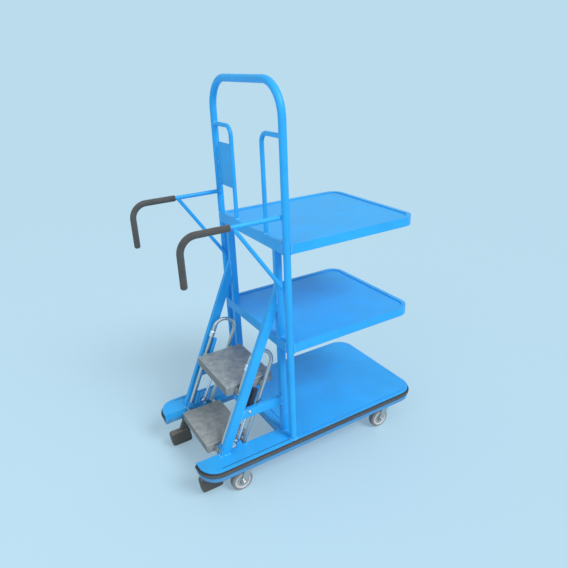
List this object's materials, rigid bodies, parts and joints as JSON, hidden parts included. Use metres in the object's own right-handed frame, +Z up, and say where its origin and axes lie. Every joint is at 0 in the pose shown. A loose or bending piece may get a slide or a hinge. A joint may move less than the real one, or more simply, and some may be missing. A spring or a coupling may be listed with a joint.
{
  "type": "order picking trolley",
  "caption": "Blue tubular order picking trolley with load shelves, horn handles and a sprung step unit on swivel casters.",
  "frame": {"origin": "middle of the bounding box on the floor", "axes": "+X towards the load end, +Y to the left when pushing the trolley towards +X, +Z up"},
  "size_m": [1.156, 0.612, 1.705],
  "materials": {
    "blue_paint": "semi gloss sky blue paint",
    "bumper_rubber": "matt grey black rubber",
    "grip_foam": "matt dark warm grey",
    "tread_grey": "mottled grey, lips worn lighter",
    "chrome_plate": "polished",
    "zinc_plate": "bright zinc",
    "strut_black": "satin black",
    "nylon_block": "matt blue",
    "foot_rubber": "matt brown black",
    "wheel_core": "pale grey",
    "tyre_grey": "non marking grey rubber"
  },
  "bodies": {
    "root": {"base_cross_members": "blue_paint", "base_rim": "blue_paint", "braces": "blue_paint", "bumper": "bumper_rubber", "caster_bolts": "zinc_plate", "caster_pads": "blue_paint", "caster_tops": "zinc_plate", "deck_panel": "blue_paint", "diagonal_left": "blue_paint", "diagonal_right": "blue_paint", "grab_rail_left": "blue_paint", "grab_rail_right": "blue_paint", "grips": "grip_foam", "guide_bars": "blue_paint", "guide_brackets": "blue_paint", "horn_braces": "blue_paint", "horn_left": "blue_paint", "horn_right": "blue_paint", "leg_left": "blue_paint", "leg_right": "blue_paint", "lower_cross_rail": "blue_paint", "lower_shelf_deck": "blue_paint", "lower_shelf_rail": "blue_paint", "main_hoop": "blue_paint", "posts": "blue_paint", "rim_end_caps": "blue_paint", "side_plate": "blue_paint", "strut_lugs": "blue_paint", "strut_rods": "chrome_plate", "upper_cross_rail": "blue_paint", "upper_shelf_deck": "blue_paint", "upper_shelf_rail": "blue_paint"},
    "step_unit": {"upper_tread": "tread_grey", "lower_tread": "tread_grey", "stringer_left": "chrome_plate", "stringer_right": "chrome_plate", "step_hoop_left": "chrome_plate", "step_hoop_right": "chrome_plate", "ferrules": "chrome_plate", "tread_brackets": "zinc_plate", "foot_left": "foot_rubber", "foot_right": "foot_rubber", "guide_blocks": "nylon_block", "strut_cylinders": "strut_black"},
    "swivel_front_left": {"fork_front_left": "zinc_plate", "axle_front_left": "zinc_plate"},
    "wheel_front_left": {"hub_front_left": "wheel_core", "tyre_front_left": "tyre_grey"},
    "swivel_front_right": {"fork_front_right": "zinc_plate", "axle_front_right": "zinc_plate"},
    "wheel_front_right": {"hub_front_right": "wheel_core", "tyre_front_right": "tyre_grey"},
    "swivel_rear_left": {"fork_rear_left": "zinc_plate", "axle_rear_left": "zinc_plate"},
    "wheel_rear_left": {"hub_rear_left": "wheel_core", "tyre_rear_left": "tyre_grey"},
    "swivel_rear_right": {"fork_rear_right": "zinc_plate", "axle_rear_right": "zinc_plate"},
    "wheel_rear_right": {"hub_rear_right": "wheel_core", "tyre_rear_right": "tyre_grey"}
  },
  "joints": [
    {"name": "step_slide", "type": "slide", "parent": "root", "child": "step_unit", "axis": [-0.3987, 0, -0.9171], "range_m": [0, 0.026], "stiffness_N_per_m": 3000, "springref_m": -0.04},
    {"name": "front_left_swivel", "type": "hinge", "parent": "root", "child": "swivel_front_left", "pos_m": [-0.353, 0.232, 0.12], "axis": [0, 0, 1], "continuous": true},
    {"name": "front_left_roll", "type": "hinge", "parent": "swivel_front_left", "child": "wheel_front_left", "pos_m": [-0.387, 0.232, 0.05], "axis": [0, 1, 0], "continuous": true},
    {"name": "front_right_swivel", "type": "hinge", "parent": "root", "child": "swivel_front_right", "pos_m": [-0.353, -0.232, 0.12], "axis": [0, 0, 1], "continuous": true},
    {"name": "front_right_roll", "type": "hinge", "parent": "swivel_front_right", "child": "wheel_front_right", "pos_m": [-0.387, -0.232, 0.05], "axis": [0, 1, 0], "continuous": true},
    {"name": "rear_left_swivel", "type": "hinge", "parent": "root", "child": "swivel_rear_left", "pos_m": [0.43, 0.232, 0.12], "axis": [0, 0, 1], "continuous": true},
    {"name": "rear_left_roll", "type": "hinge", "parent": "swivel_rear_left", "child": "wheel_rear_left", "pos_m": [0.396, 0.232, 0.05], "axis": [0, 1, 0], "continuous": true},
    {"name": "rear_right_swivel", "type": "hinge", "parent": "root", "child": "swivel_rear_right", "pos_m": [0.43, -0.232, 0.12], "axis": [0, 0, 1], "continuous": true},
    {"name": "rear_right_roll", "type": "hinge", "parent": "swivel_rear_right", "child": "wheel_rear_right", "pos_m": [0.396, -0.232, 0.05], "axis": [0, 1, 0], "continuous": true}
  ]
}
